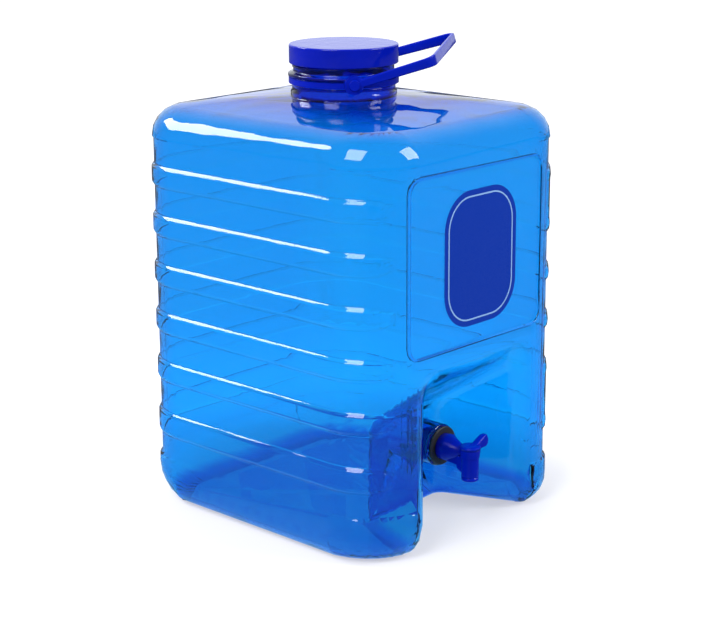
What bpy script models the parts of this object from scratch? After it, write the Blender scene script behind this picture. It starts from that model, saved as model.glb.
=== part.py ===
"""Ribbed water container with a screw cap, a strap handle on a neck collar and a lever tap.

Metres, +Z up. The origin is the middle of the base. The front, with the label
panel and the tap alcove, faces -Y. The ribs run round the other three sides.
"""
import math
from collections import namedtuple

import bmesh
import bpy
from mathutils import Vector

# Fits
GAP = 0.0003
PIVOT_PLAY = 0.0003

# How far a guide reaches past what it cuts
PAST = 0.002

# Tank outline, at the level of the grooves between the ribs
BODY_WIDTH = 0.2400
BODY_DEPTH = 0.2710
CORNER_RADIUS = 0.0485
WALL = 0.002
BAND_STEP = 0.0022
BAND_SLOPE = 0.0030
BASE_RADIUS = 0.017
FRONT_BASE_RADIUS = 0.021
BACK_BASE_RADIUS = 0.030
BASE_BAND_TOP = 0.0388
SHOULDER_STEP = 0.0011
SHOULDER_EDGE = 0.3076
SHOULDER_RADIUS = 0.0245
TOP_EDGE = 0.3332
DOME_RISE = 0.0080
DOME_POWER = 2.2
DOME_SHARES = (0.84, 0.62, 0.38, 0.2)
FRONT_ANGLES = (0, 18, 36, 50, 58, 65, 77, 90)
BACK_ANGLES = (0, 15, 30, 45, 60, 75, 90)
BASE_ANGLES = (0, 22, 45, 68, 90)
SHOULDER_ANGLES = (0, 18, 36, 54, 72, 88)

# Ribs, counted from the top: where each ends above and how high it is
RIB_TOPS = (0.2868, 0.2462, 0.2052, 0.1645, 0.1228, 0.0790)
RIB_HEIGHTS = (0.0185, 0.0185, 0.0185, 0.0185, 0.0185, 0.0215)
RIB_SHOULDER = 0.78
RIB_END_ANGLE = 58
RIB_END_PINCH = 0.42
RIB_NEAR_END_ANGLE = 50
RIB_NEAR_END_PINCH = 0.10
JOINED_FROM_ANGLE = 18
JOINED_GAPS = (1, 5)

# Label panel, sunk into the front
PANEL_HALF = 0.0797
PANEL_BOTTOM = 0.1600
PANEL_TOP = 0.2975
PANEL_CORNER = 0.010
PANEL_SINK = 0.0020
FRONT_CLEARANCE = 0.006

# Tap alcove, open to the front and to the floor, narrowing towards its back wall
ALCOVE_HALF_FRONT = 0.0575
ALCOVE_HALF_BACK = 0.0450
ALCOVE_DEPTH = 0.0770
ALCOVE_TOP_FRONT = 0.1405
ALCOVE_TOP_BACK = 0.0850
ALCOVE_CORNER_FRONT = 0.020
ALCOVE_CORNER_BACK = 0.008
ALCOVE_MOUTH_RADIUS = 0.014
ALCOVE_TOP_SHARE = 0.6
ALCOVE_BACK_RADIUS = 0.008
ALCOVE_FOOT_FRONT = 0.030
ALCOVE_FOOT_BACK = 0.006
MOUTH_SHARES = (0, 0.07, 0.29, 0.57, 1)
FOOT_SHARES = (0, 0.07, 0.29, 0.6, 1)
BACK_SHARES = (1, 0.62, 0.29, 0.07, 0)

# Tap boss on the alcove's back wall
TAP_HEIGHT = 0.0650
BOSS_FACE_SETBACK = 0.0375
BOSS_RADIUS = 0.0173
BOSS_WALL = 0.0028
BOSS_EDGE = 0.001
BOSS_SEGMENTS = 32

# Neck
NECK_Y = 0.0067
NECK_RADIUS = 0.0420
NECK_WALL = 0.0028
NECK_SEGMENTS = 48
NECK_ROOT_DEPTH = 0.0060
NECK_ROOT_FLARE = 0.003
PEDESTAL_RADIUS = 0.0432
PEDESTAL_TOP = 0.3455
PEDESTAL_FOOT = 0.0024
PEDESTAL_FOOT_LOW = 0.0020
PEDESTAL_FOOT_HIGH = 0.0068
LOWER_BEAD_HEIGHT = 0.0012
LOWER_BEAD_RADIUS = 0.0429
UPPER_BEAD_RADIUS = 0.0452
UPPER_BEAD_HEIGHT = 0.0036
BEAD_EDGE = 0.0008
THREAD_ROOT_RADIUS = 0.0410
NECK_TOP = 0.3793

# Collar and strap handle
COLLAR_BOTTOM = 0.3513
COLLAR_HEIGHT = 0.0046
COLLAR_WALL = 0.0025
COLLAR_TURN = -37.6
EAR_RADIUS = 0.0077
EAR_THICKNESS = 0.0020
EAR_CLEARANCE = 0.0004
EAR_LAP = 0.0012
EAR_WEB_EDGE = 0.0005
EAR_SEGMENTS = 24
PIN_SEGMENTS = 16
PIVOT_HEIGHT = 0.3547
BAIL_RISE = 15.5
EYELET_RADIUS = 0.0075
STRAP_THICKNESS = 0.0030
STRAP_HEIGHT = 0.0066
STRAP_EDGE = 0.0007
GRIP_HEIGHT = 0.0084
NEAR_ARM = 0.066
FAR_ARM = 0.106
NEAR_BEND = 0.010
FAR_BEND = 0.005
FAR_DROOP = 0.0045
PIN_RADIUS = 0.0027
PIN_HEAD_RADIUS = 0.0046
PIN_HEAD_THICKNESS = 0.0012
PIN_HEAD_EDGE = 0.0005

# Screw cap
CAP_RADIUS = 0.0444
CAP_SKIRT_BOTTOM = 0.3671
CAP_THICKNESS = 0.0020
CAP_EDGE = 0.0012
CAP_FOOT_EDGE = 0.0005
CAP_INNER_RADIUS = 0.0427
LINER_THICKNESS = 0.0006

# Tap
SHANK_RADIUS = 0.0080
SHANK_TAIL = 0.024
FLOW_RADIUS = 0.0030
DROP_RADIUS = 0.0046
WASHER_RADIUS = 0.0160
WASHER_THICKNESS = 0.0030
WASHER_EDGE = 0.0008
FLANGE_RADIUS = 0.0110
FLANGE_END = 0.0100
CONE_END = 0.0205
ARM_RADIUS = 0.0056
ARM_CORE_RADIUS = 0.0038
MOULD_EDGE = 0.0007
TAP_SEGMENTS = 24
PORT_SEGMENTS = 16
SPOUT_REACH = 0.0309
BARREL_RADIUS = 0.0071
BARREL_HEAD_RADIUS = 0.0084
BARREL_STEP = 0.0622
BARREL_STEP_SLOPE = 0.0003
BARREL_TOP = 0.0690
BARREL_BOTTOM = 0.0463
GUSSET_HALF = 0.0036
GUSSET_DROP = 0.0113
GUSSET_LAP = 0.001
GUSSET_KNEE = 0.0190
GUSSET_STEP = 0.0033
GUSSET_LOW = 0.0482
SPOUT_BOTTOM = 0.0428
SPOUT_RADIUS = 0.0070
SPOUT_SLEEVE_WALL = 0.0012
SPOUT_SLEEVE_DROP = 0.0015
PLUG_RADIUS = 0.0055
PLUG_BOTTOM = 0.0538
PLUG_DRIVE = 0.0050
PLUG_SINK = 0.0004
PLUG_WALL = 0.0022
PLUG_PORT_RADIUS = 0.0027
PLUG_CEILING = 0.0016
DRIVE_HEIGHT = 0.0016
DRIVE_LAP = 0.001
SEAL_SECTION = 0.00065
SEAL_PLAY = 0.0002
SEAL_SQUEEZE = 0.0001
UPPER_SEAL_DROP = 0.0016
LOWER_SEAL_RISE = 0.0046
LEVER_HUB_RADIUS = 0.0086
LEVER_THICKNESS = 0.0056
LEVER_HUB_HEIGHT = 0.0024
LEVER_EDGE = 0.0010
WING_START = 0.0042
WING_CLEARANCE = 0.0008
WING_DROP = 0.0024
WING_TIP = 0.0206
WING_RISE = 0.0076
NUT_ACROSS = 0.0245
NUT_THICKNESS = 0.0070
INNER_WASHER_THICKNESS = 0.0015

# Places that follow from the sizes
FRONT = -BODY_DEPTH / 2
BOSS_FACE = FRONT + BOSS_FACE_SETBACK
SPOUT_Y = BOSS_FACE - SPOUT_REACH
COLLAR_TOP = COLLAR_BOTTOM + COLLAR_HEIGHT
COLLAR_OUTER = NECK_RADIUS + GAP + COLLAR_WALL
EAR_INNER = UPPER_BEAD_RADIUS + EAR_CLEARANCE
EAR_OUTER = EAR_INNER + EAR_THICKNESS
STRAP_INNER = EAR_OUTER + GAP
STRAP_OUTER = STRAP_INNER + STRAP_THICKNESS
STRAP_MIDDLE = (STRAP_INNER + STRAP_OUTER) / 2
PIN_HOLE = PIN_RADIUS + PIVOT_PLAY
PLUG_BORE = PLUG_RADIUS + GAP
CAP_TOP = NECK_TOP + LINER_THICKNESS + 2 * GAP + CAP_THICKNESS

COLOURS = {
    "tank": ((0.01, 0.22, 0.83), 0.08),
    "royal": ((0.004, 0.012, 0.42), 0.30),
    "rubber": ((0.012, 0.012, 0.014), 0.65),
    "liner": ((0.80, 0.82, 0.84), 0.55),
    "seal": ((0.02, 0.02, 0.02), 0.55),
}


def clear_scene():
    for item in list(bpy.data.objects):
        bpy.data.objects.remove(item)


def make_material(name, finish, alpha=1.0):
    colour, roughness = COLOURS[finish]
    material = bpy.data.materials.new(name)
    material.use_nodes = True
    shader = material.node_tree.nodes["Principled BSDF"]
    shader.inputs["Base Color"].default_value = (*colour, 1.0)
    shader.inputs["Roughness"].default_value = roughness
    shader.inputs["Metallic"].default_value = 0.0
    shader.inputs["Alpha"].default_value = alpha
    return material


def object_from(name, mesh_builder, smooth_angle=35.0):
    """Turns a filled bmesh into a named object with outward faces."""
    bmesh.ops.remove_doubles(mesh_builder, verts=mesh_builder.verts, dist=1e-7)
    bmesh.ops.recalc_face_normals(mesh_builder, faces=mesh_builder.faces)
    mesh = bpy.data.meshes.new(name)
    mesh_builder.to_mesh(mesh)
    mesh_builder.free()
    mesh.shade_smooth()
    mesh.set_sharp_from_angle(angle=math.radians(smooth_angle))
    item = bpy.data.objects.new(name, mesh)
    bpy.context.scene.collection.objects.link(item)
    return item


def as_cutter(item):
    item.hide_render = True
    item.display_type = "WIRE"
    return item


def combine(item, other, operation):
    """Adds an exact Boolean of the object with a hidden guide."""
    modifier = item.modifiers.new(other.name, "BOOLEAN")
    modifier.operation = operation
    modifier.object = as_cutter(other)
    return item


def cut(item, other):
    return combine(item, other, "DIFFERENCE")


def add(item, other):
    return combine(item, other, "UNION")


def finish(item, colour_name, alpha=1.0):
    item.data.materials.append(make_material(item.name, colour_name, alpha))
    return item


def lofted(name, rings, smooth_angle=35.0):
    """Skins closed rings of equal length and caps both ends."""
    builder = bmesh.new()
    rows = [[builder.verts.new(point) for point in ring] for ring in rings]
    count = len(rows[0])
    for lower, upper in zip(rows, rows[1:]):
        for index in range(count):
            after = (index + 1) % count
            builder.faces.new((lower[index], lower[after], upper[after], upper[index]))
    builder.faces.new(rows[0])
    builder.faces.new(rows[-1])
    return object_from(name, builder, smooth_angle)


def turned(name, profile, segments=48, smooth_angle=35.0):
    """Spins a closed outline of (radius, height) points round the Z axis."""
    builder = bmesh.new()
    points = [builder.verts.new((radius, 0.0, height)) for radius, height in profile]
    edges = [builder.edges.new(pair) for pair in zip(points, points[1:] + points[:1])]
    bmesh.ops.spin(
        builder,
        geom=points + edges,
        axis=(0, 0, 1),
        cent=(0, 0, 0),
        steps=segments,
        angle=2 * math.pi,
        use_merge=True,
    )
    bmesh.ops.remove_doubles(builder, verts=builder.verts, dist=1e-7)
    bmesh.ops.dissolve_degenerate(builder, edges=builder.edges, dist=1e-7)
    on_axis = [edge for edge in builder.edges if not edge.link_faces]
    bmesh.ops.delete(builder, geom=on_axis, context="EDGES")
    return object_from(name, builder, smooth_angle)


def prism(name, outline, low, high, smooth_angle=35.0):
    """Extrudes an outline of (x, y) points from one height to another."""
    rings = [[Vector((x, y, height)) for x, y in outline] for height in (low, high)]
    return lofted(name, rings, smooth_angle)


def arc(centre, radius, start, end, steps):
    """Points on an arc, both ends included; the angles are in degrees."""
    points = []
    for step in range(steps + 1):
        angle = math.radians(start + (end - start) * step / steps)
        points.append((centre[0] + radius * math.cos(angle), centre[1] + radius * math.sin(angle)))
    return points


def rounded_box(half_width, low, high, radius, steps=4):
    """Outline of a rectangle with round corners, low and high in its second axis."""
    right = half_width - radius
    return (
        arc((right, low + radius), radius, -90, 0, steps)
        + arc((right, high - radius), radius, 0, 90, steps)
        + arc((-right, high - radius), radius, 90, 180, steps)
        + arc((-right, low + radius), radius, 180, 270, steps)
    )


def slab(name, outline, half, edge, put):
    """A slab whose two faces are drawn in by the edge; put turns across, u and v into a point."""
    middle_u = sum(u for u, v in outline) / len(outline)
    middle_v = sum(v for u, v in outline) / len(outline)
    rings = []
    for across, shrink in ((-half, edge), (edge - half, 0.0), (half - edge, 0.0), (half, edge)):
        ring = []
        for u, v in outline:
            pull = Vector((middle_u - u, middle_v - v)).normalized() * shrink
            ring.append(Vector(put(across, u + pull.x, v + pull.y)))
        rings.append(ring)
    return lofted(name, rings)


def disc(name, radius, low, high, segments=32, hole=0.0):
    profile = [(hole, low), (radius, low), (radius, high), (hole, high)]
    return turned(name, profile, segments)


def place(item, location, turn=None):
    """Moves an object, its long axis first turned from Z to the named axis."""
    turns = {"Y": (math.radians(90), 0, 0), "-Y": (math.radians(-90), 0, 0), None: (0, 0, 0)}
    item.rotation_euler = turns[turn]
    item.location = location
    return item


def base_radius(angle, corner_radius):
    """Radius of the bottom edge, larger round the corners than along the sides."""
    share = math.sin(math.radians(min(2 * angle, 90)))
    return BASE_RADIUS + (corner_radius - BASE_RADIUS) * share


def rib_pinch(angle):
    """How much lower a rib stands near its round ends, as a share of its height."""
    if angle >= RIB_END_ANGLE:
        return RIB_END_PINCH
    if angle >= RIB_NEAR_END_ANGLE:
        return RIB_NEAR_END_PINCH
    return 0.0


# One upright line of the skin: its arc's centre, its outward normal, its share of the ribs'
# height and pinch, whether its upper and lower ribs are joined, and its bottom edge's radius
Column = namedtuple("Column", "x y normal_x normal_y share pinch joined edge")


def tank_columns():
    centre_x = BODY_WIDTH / 2 - CORNER_RADIUS
    centre_y = BODY_DEPTH / 2 - CORNER_RADIUS
    columns = []
    for side in (1, -1):
        front = []
        for angle in FRONT_ANGLES:
            turn = math.radians(angle)
            place_and_normal = (side * centre_x, -centre_y, side * math.cos(turn), -math.sin(turn))
            share = 1.0 if angle <= RIB_END_ANGLE else 0.0
            joined = side > 0 and JOINED_FROM_ANGLE <= angle <= RIB_END_ANGLE
            edge = base_radius(angle, FRONT_BASE_RADIUS)
            front.append(Column(*place_and_normal, share, rib_pinch(angle), joined, edge))
        back = []
        for angle in BACK_ANGLES:
            turn = math.radians(angle)
            place_and_normal = (side * centre_x, centre_y, side * math.cos(turn), math.sin(turn))
            edge = base_radius(angle, BACK_BASE_RADIUS)
            back.append(Column(*place_and_normal, 1.0, 0.0, False, edge))
        half = front[::-1] + back
        columns += half if side > 0 else half[::-1]
    return columns


def tank_levels(inset):
    """Levels of the skin above its bottom edge: height, middle of its rib, push, step, groove number."""
    levels = [(BASE_BAND_TOP - BAND_SLOPE, None, -inset, BAND_STEP, None)]
    levels.append((BASE_BAND_TOP, None, -inset, 0.0, len(RIB_TOPS)))
    for index in reversed(range(len(RIB_TOPS))):
        top = RIB_TOPS[index]
        low = top - RIB_HEIGHTS[index]
        middle = (top + low) / 2
        levels.append((low, middle, -inset, 0.0, index + 1))
        levels.append((low + BAND_SLOPE, middle, -inset, RIB_SHOULDER * BAND_STEP, None))
        levels.append((middle, middle, -inset, BAND_STEP, None))
        levels.append((top - BAND_SLOPE, middle, -inset, RIB_SHOULDER * BAND_STEP, None))
        levels.append((top, middle, -inset, 0.0, index))
    levels.append((SHOULDER_EDGE, None, -inset, 0.0, 0))
    for angle in SHOULDER_ANGLES:
        turn = math.radians(angle)
        radius = SHOULDER_RADIUS - inset
        height = TOP_EDGE - SHOULDER_RADIUS + radius * math.sin(turn)
        levels.append((height, None, radius * math.cos(turn) - SHOULDER_RADIUS, SHOULDER_STEP, None))
    return levels


def column_step(middle, step, groove, column):
    """How far one column stands out at one level, past the level of the grooves."""
    if groove in JOINED_GAPS and column.joined:
        return RIB_SHOULDER * BAND_STEP
    return step if middle is None else step * column.share


def skin_point(column, reach, height):
    return Vector((column.x + column.normal_x * reach, column.y + column.normal_y * reach, height))


def tank_skin(name, inset):
    """The tank's closed skin, moved in by the inset."""
    columns = tank_columns()
    rings = []
    for angle in BASE_ANGLES:
        turn = math.radians(angle)
        ring = []
        for column in columns:
            radius = column.edge - inset
            reach = CORNER_RADIUS + BAND_STEP - column.edge + radius * math.sin(turn)
            ring.append(skin_point(column, reach, column.edge - radius * math.cos(turn)))
        rings.append(ring)
    for height, middle, push, step, groove in tank_levels(inset):
        ring = []
        for column in columns:
            reach = CORNER_RADIUS + push + column_step(middle, step, groove, column)
            level = height if middle is None else middle + (height - middle) * (1 - column.pinch)
            ring.append(skin_point(column, reach, level))
        rings.append(ring)
    rim = rings[-1]
    for share in DOME_SHARES:
        height = TOP_EDGE - inset + DOME_RISE * (1 - share**DOME_POWER)
        rings.append([Vector((point.x * share, point.y * share, height)) for point in rim])
    return lofted(name, rings)


def flare(radius, inward):
    """How far a rounded mouth stands out at a distance in from its rim."""
    if inward <= 0:
        return radius
    if inward >= radius:
        return 0.0
    return radius - math.sqrt(radius**2 - (radius - inward) ** 2)


def between(start, end, share):
    return start + (end - start) * share


def alcove_cutter(name, grow):
    """The alcove's space: an arch that flares at its mouth and at its feet."""
    mouth = ALCOVE_MOUTH_RADIUS - grow
    back = ALCOVE_BACK_RADIUS + grow
    depth = ALCOVE_DEPTH + grow
    stations = [-FRONT_CLEARANCE] + [grow + mouth * share for share in MOUTH_SHARES]
    stations += [depth / 2] + [depth - back * share for share in BACK_SHARES]
    rings = []
    for station in stations:
        share = max(station, 0.0) / ALCOVE_DEPTH
        opening = flare(mouth, station - grow)
        into_back = max(0.0, station - (depth - back))
        pinch = back - math.sqrt(max(back**2 - into_back**2, 0.0))
        half = between(ALCOVE_HALF_FRONT, ALCOVE_HALF_BACK, share) + grow + opening - pinch
        top = between(ALCOVE_TOP_FRONT, ALCOVE_TOP_BACK, share)
        top += grow + opening * ALCOVE_TOP_SHARE - pinch
        corner = between(ALCOVE_CORNER_FRONT, ALCOVE_CORNER_BACK, share) + grow
        foot = between(ALCOVE_FOOT_FRONT, ALCOVE_FOOT_BACK, share) - grow
        heights = [-FRONT_CLEARANCE] + [grow + foot * step for step in FOOT_SHARES]
        side = []
        for height in heights:
            spread = flare(foot, height - grow)
            side.append((half + spread, height, spread * into_back / back))
        for x, z in arc((half - corner, top - corner), corner, 0, 90, 5):
            side.append((x, z, 0.0))
        ring = [Vector((x, FRONT + station + push, z)) for x, z, push in side]
        ring += [Vector((-x, FRONT + station + push, z)) for x, z, push in reversed(side)]
        rings.append(ring)
    return lofted(name, rings)


def panel_cutter(name, grow):
    """The space in front of the sunk label panel."""
    outline = rounded_box(PANEL_HALF + grow, PANEL_BOTTOM - grow, PANEL_TOP + grow, PANEL_CORNER + grow)
    rings = []
    for y in (FRONT - FRONT_CLEARANCE, FRONT + PANEL_SINK + grow):
        rings.append([Vector((x, y, z)) for x, z in outline])
    return lofted(name, rings)


def neck_profile():
    """Outer outline of the neck, from its foot inside the dome to the rim."""
    bead_low = COLLAR_TOP + GAP
    bead_high = bead_low + UPPER_BEAD_HEIGHT
    lower_bead_high = COLLAR_BOTTOM - GAP
    lower_bead_low = lower_bead_high - LOWER_BEAD_HEIGHT
    return [
        (PEDESTAL_RADIUS + PEDESTAL_FOOT, TOP_EDGE + PEDESTAL_FOOT_LOW),
        (PEDESTAL_RADIUS + PEDESTAL_FOOT, TOP_EDGE + PEDESTAL_FOOT_HIGH - BEAD_EDGE),
        (PEDESTAL_RADIUS, TOP_EDGE + PEDESTAL_FOOT_HIGH + BEAD_EDGE),
        (PEDESTAL_RADIUS, PEDESTAL_TOP - BEAD_EDGE),
        (NECK_RADIUS, PEDESTAL_TOP),
        (NECK_RADIUS, lower_bead_low),
        (LOWER_BEAD_RADIUS, lower_bead_low + BEAD_EDGE / 2),
        (LOWER_BEAD_RADIUS, lower_bead_high),
        (NECK_RADIUS, lower_bead_high),
        (NECK_RADIUS, bead_low),
        (UPPER_BEAD_RADIUS - BEAD_EDGE, bead_low),
        (UPPER_BEAD_RADIUS, bead_low + BEAD_EDGE),
        (UPPER_BEAD_RADIUS, bead_high - BEAD_EDGE),
        (UPPER_BEAD_RADIUS - BEAD_EDGE, bead_high),
        (THREAD_ROOT_RADIUS + BEAD_EDGE / 2, bead_high + BEAD_EDGE / 2),
        (THREAD_ROOT_RADIUS, bead_high + 2 * BEAD_EDGE),
        (THREAD_ROOT_RADIUS, NECK_TOP - BEAD_EDGE / 2),
        (THREAD_ROOT_RADIUS - BEAD_EDGE / 2, NECK_TOP),
    ]


def neck_body():
    outer = neck_profile()
    profile = [(0.0, TOP_EDGE + PEDESTAL_FOOT_LOW)] + outer + [(0.0, NECK_TOP)]
    return place(turned("neck_outside", profile, NECK_SEGMENTS), (0, NECK_Y, 0))


def neck_bore():
    radius = THREAD_ROOT_RADIUS - NECK_WALL
    low = TOP_EDGE - NECK_ROOT_DEPTH
    profile = [(0.0, low), (radius + NECK_ROOT_FLARE, low), (radius, PEDESTAL_TOP - PAST)]
    profile += [(radius, NECK_TOP + PAST), (0.0, NECK_TOP + PAST)]
    return place(turned("neck_bore", profile, NECK_SEGMENTS), (0, NECK_Y, 0))


def boss_body():
    """The round boss that carries the tap, from its face to the back wall."""
    length = ALCOVE_DEPTH - BOSS_FACE_SETBACK + 2 * WALL
    profile = [(0, 0), (BOSS_RADIUS - BOSS_EDGE, 0), (BOSS_RADIUS, BOSS_EDGE)]
    profile += [(BOSS_RADIUS, length), (0, length)]
    boss = turned("boss_outside", profile, BOSS_SEGMENTS)
    return place(boss, (0, BOSS_FACE, TAP_HEIGHT), "-Y")


def boss_bore():
    length = ALCOVE_DEPTH - BOSS_FACE_SETBACK + ALCOVE_BACK_RADIUS + PAST
    item = disc("boss_bore", BOSS_RADIUS - BOSS_WALL, BOSS_WALL, length, BOSS_SEGMENTS)
    return place(item, (0, BOSS_FACE, TAP_HEIGHT), "-Y")


def build_tank():
    inside = tank_skin("tank_inside", WALL)
    cut(inside, alcove_cutter("alcove_inside", WALL))
    cut(inside, panel_cutter("panel_inside", WALL))
    add(inside, neck_bore())
    add(inside, boss_bore())
    tank = tank_skin("tank_body", 0.0)
    cut(tank, alcove_cutter("alcove", 0.0))
    cut(tank, panel_cutter("panel", 0.0))
    add(tank, boss_body())
    add(tank, neck_body())
    cut(tank, inside)
    hole = disc("tap_hole", SHANK_RADIUS + GAP, -PAST, 2 * BOSS_WALL, BOSS_SEGMENTS)
    cut(tank, place(hole, (0, BOSS_FACE, TAP_HEIGHT), "-Y"))
    return finish(tank, "tank", 0.35)


def build_cap():
    inner_top = CAP_TOP - CAP_THICKNESS
    profile = [
        (0.0, CAP_TOP),
        (0.0, inner_top),
        (CAP_INNER_RADIUS, inner_top),
        (CAP_INNER_RADIUS, CAP_SKIRT_BOTTOM),
        (CAP_RADIUS - CAP_FOOT_EDGE, CAP_SKIRT_BOTTOM),
        (CAP_RADIUS, CAP_SKIRT_BOTTOM + CAP_FOOT_EDGE),
    ]
    rim = (CAP_RADIUS - CAP_EDGE, CAP_TOP - CAP_EDGE)
    profile += arc(rim, CAP_EDGE, 0, 90, 3)
    cap = place(turned("screw_cap", profile, NECK_SEGMENTS), (0, NECK_Y, 0))
    return finish(cap, "royal")


def build_liner():
    low = NECK_TOP + GAP
    liner = disc("cap_liner", CAP_INNER_RADIUS - 2 * GAP, low, low + LINER_THICKNESS, NECK_SEGMENTS)
    return finish(place(liner, (0, NECK_Y, 0)), "liner")


def handle_pivot():
    """Empty on the neck's axis, turned so that the pivots lie along its Y axis."""
    empty = bpy.data.objects.new("collar_axis", None)
    bpy.context.scene.collection.objects.link(empty)
    empty.location = (0, NECK_Y, 0)
    empty.rotation_euler = (0, 0, math.radians(COLLAR_TURN))
    return empty


def parented(item, parent):
    item.parent = parent
    return item


def build_collar(axis):
    inner = NECK_RADIUS + GAP
    collar = disc("handle_collar", COLLAR_OUTER, COLLAR_BOTTOM, COLLAR_TOP, NECK_SEGMENTS, hole=inner)
    parented(collar, axis)
    for side, label in ((-1, "near"), (1, "far")):
        low = COLLAR_OUTER - EAR_LAP
        high = EAR_OUTER - EAR_CLEARANCE
        web = rounded_box(EAR_RADIUS - EAR_LAP, low, high, EAR_WEB_EDGE, 1)
        web = [(x, side * y) for x, y in web]
        add(collar, parented(prism(f"ear_web_{label}", web, COLLAR_BOTTOM, COLLAR_TOP), axis))
        ear = disc(f"ear_{label}", EAR_RADIUS, EAR_INNER, EAR_OUTER, EAR_SEGMENTS)
        turn = "Y" if side < 0 else "-Y"
        add(collar, parented(place(ear, (0, 0, PIVOT_HEIGHT), turn), axis))
        hole = disc(f"ear_hole_{label}", PIN_HOLE, EAR_INNER - PAST, EAR_OUTER + PAST, PIN_SEGMENTS)
        cut(collar, parented(place(hole, (0, 0, PIVOT_HEIGHT), turn), axis))
    return finish(collar, "royal")


def strap_route():
    """Middle line of the strap in its own plane, with its two bends as arcs."""
    near = Vector((NEAR_ARM, -STRAP_MIDDLE))
    far = Vector((FAR_ARM, STRAP_MIDDLE))
    start = Vector((0.0, -STRAP_MIDDLE))
    end = Vector((0.0, STRAP_MIDDLE))
    route = [start, start + Vector((EYELET_RADIUS, 0.0))]
    corners = ((start, near, far, NEAR_BEND, 5), (near, far, end, FAR_BEND, 6))
    for before, corner, after, radius, steps in corners:
        arriving = (corner - before).normalized()
        leaving = (after - corner).normalized()
        turn = arriving.angle(leaving)
        back = radius * math.tan(turn / 2)
        first = corner - arriving * back
        centre = first + Vector((-arriving.y, arriving.x)) * radius
        opening = math.degrees(math.atan2(first.y - centre.y, first.x - centre.x))
        for x, y in arc(centre, radius, opening, opening + math.degrees(turn), steps):
            route.append(Vector((x, y)))
    route += [end + Vector((EYELET_RADIUS, 0.0)), end]
    return route


def build_bail(axis):
    """The strap handle: two arms and a grip, swept in one plane, with an eyelet on each end."""
    hinge = bpy.data.objects.new("bail_axis", None)
    bpy.context.scene.collection.objects.link(hinge)
    parented(hinge, axis)
    hinge.location = (0, 0, PIVOT_HEIGHT)
    hinge.rotation_euler = (0, -math.radians(BAIL_RISE), 0)
    route = strap_route()
    rings = []
    for index, point in enumerate(route):
        before = route[max(index - 1, 0)]
        after = route[min(index + 1, len(route) - 1)]
        along = (after - before).normalized()
        across = Vector((along.y, -along.x))
        on_grip = min(point.x / NEAR_ARM, 1.0) ** 3
        droop = FAR_DROOP * (max(point.x - EYELET_RADIUS, 0.0) / FAR_ARM) ** 2
        droop *= (point.y + STRAP_MIDDLE) / (2 * STRAP_MIDDLE)
        height = STRAP_HEIGHT + (GRIP_HEIGHT - STRAP_HEIGHT) * on_grip
        half = STRAP_THICKNESS / 2
        section = [(half, height / 2 - STRAP_EDGE), (half - STRAP_EDGE, height / 2)]
        section += [(STRAP_EDGE - half, height / 2), (-half, height / 2 - STRAP_EDGE)]
        section += [(-x, -z) for x, z in section]
        ring = [Vector((*(point + across * x), z - droop)) for x, z in section]
        rings.append(ring)
    bail = parented(lofted("bail_handle", rings, 40.0), hinge)
    for side, label in ((-1, "near"), (1, "far")):
        turn = "Y" if side < 0 else "-Y"
        eyelet = disc(f"eyelet_{label}", EYELET_RADIUS, STRAP_INNER, STRAP_OUTER, EAR_SEGMENTS)
        add(bail, parented(place(eyelet, (0, 0, 0), turn), hinge))
        hole = disc(f"eyelet_hole_{label}", PIN_HOLE, STRAP_INNER - PAST, STRAP_OUTER + PAST, PIN_SEGMENTS)
        cut(bail, parented(place(hole, (0, 0, 0), turn), hinge))
    return finish(bail, "royal")


def build_pins(axis):
    """A headed pin through each eyelet and ear."""
    for side, label in ((-1, "near"), (1, "far")):
        head = STRAP_OUTER + GAP
        profile = [
            (0.0, EAR_INNER),
            (PIN_RADIUS, EAR_INNER),
            (PIN_RADIUS, head),
            (PIN_HEAD_RADIUS, head),
            (PIN_HEAD_RADIUS - PIN_HEAD_EDGE, head + PIN_HEAD_THICKNESS),
            (0.0, head + PIN_HEAD_THICKNESS),
        ]
        pin = turned(f"bail_pin_{label}", profile, PIN_SEGMENTS)
        parented(place(pin, (0, 0, PIVOT_HEIGHT), "Y" if side < 0 else "-Y"), axis)
        finish(pin, "royal")


def washer_face():
    return GAP + WASHER_THICKNESS + GAP


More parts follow.
